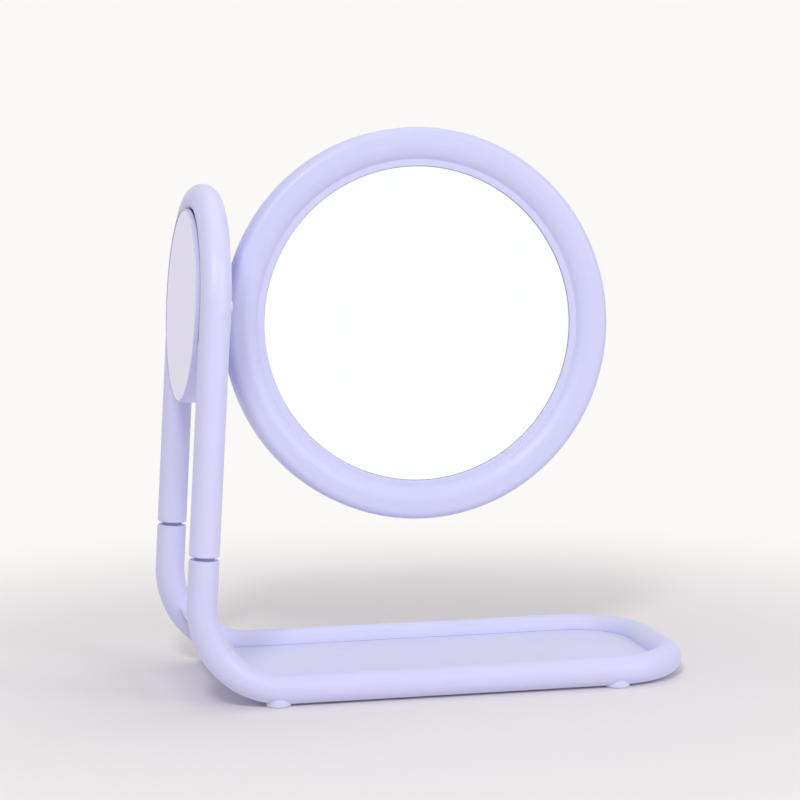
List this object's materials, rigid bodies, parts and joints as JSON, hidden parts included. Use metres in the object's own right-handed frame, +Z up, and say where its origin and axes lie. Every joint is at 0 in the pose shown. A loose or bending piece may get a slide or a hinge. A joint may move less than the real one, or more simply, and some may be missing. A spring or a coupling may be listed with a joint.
{
  "type": "vanity mirror",
  "caption": "Table vanity mirror: a round mirror swivels on a drum with a small side mirror, held by a tube arch over a shallow tray with a round free end.",
  "frame": {"origin": "centre of the footprint, on the surface that the feet stand on", "axes": "+X from the arch to the tray's free end, +Y from the side that the large mirror faces to its rear, +Z up"},
  "size_m": [0.2454, 0.114, 0.2626],
  "materials": {
    "stand_plastic": "satin lilac moulded plastic",
    "arch_plastic": "satin lilac moulded plastic",
    "drum_plastic": "satin lilac moulded plastic",
    "ring_plastic": "satin lilac moulded plastic",
    "shaft_plastic": "satin lilac acetal",
    "peg_plastic": "plain lilac plastic",
    "anchor_plastic": "plain natural plastic",
    "bush_plastic": "plain natural acetal",
    "foot_rubber": "soft matt lilac silicone",
    "foam_pad": "adhesive foam",
    "side_mirror": "silvered glass",
    "large_mirror": "silvered glass",
    "steel": "zinc plated",
    "cover_screws": "screw heads painted lilac"
  },
  "bodies": {
    "stand": {"base_frame": "stand_plastic", "tray_floor": "stand_plastic", "foot_front_left": "foot_rubber", "foot_rear_left": "foot_rubber", "foot_front_right": "foot_rubber", "foot_rear_right": "foot_rubber", "leg_peg_front": "peg_plastic", "leg_peg_rear": "peg_plastic", "arch": "arch_plastic", "drum_front_shell": "drum_plastic", "drum_back_shell": "drum_plastic", "side_mirror_glass": "side_mirror", "side_mirror_pad": "foam_pad", "drum_screws": "steel", "pin_screws": "cover_screws", "drum_pin_front": "steel", "drum_pin_rear": "steel", "swivel_bush": "bush_plastic", "inner_washer": "bush_plastic", "outer_washer": "bush_plastic"},
    "mirror_head": {"swivel_shaft": "shaft_plastic", "disc_spring": "steel", "lock_nut": "steel", "shaft_anchor": "anchor_plastic", "anchor_pin": "steel", "ring_front_shell": "ring_plastic", "ring_rear_shell": "ring_plastic", "front_mirror_glass": "large_mirror", "rear_mirror_glass": "large_mirror", "mirror_pad": "foam_pad"}
  },
  "joints": [
    {"name": "mirror_swivel", "type": "hinge", "parent": "stand", "child": "mirror_head", "pos_m": [-0.1079, 0, 0.18039], "axis": [0.9949, 0, -0.1011], "continuous": true}
  ]
}
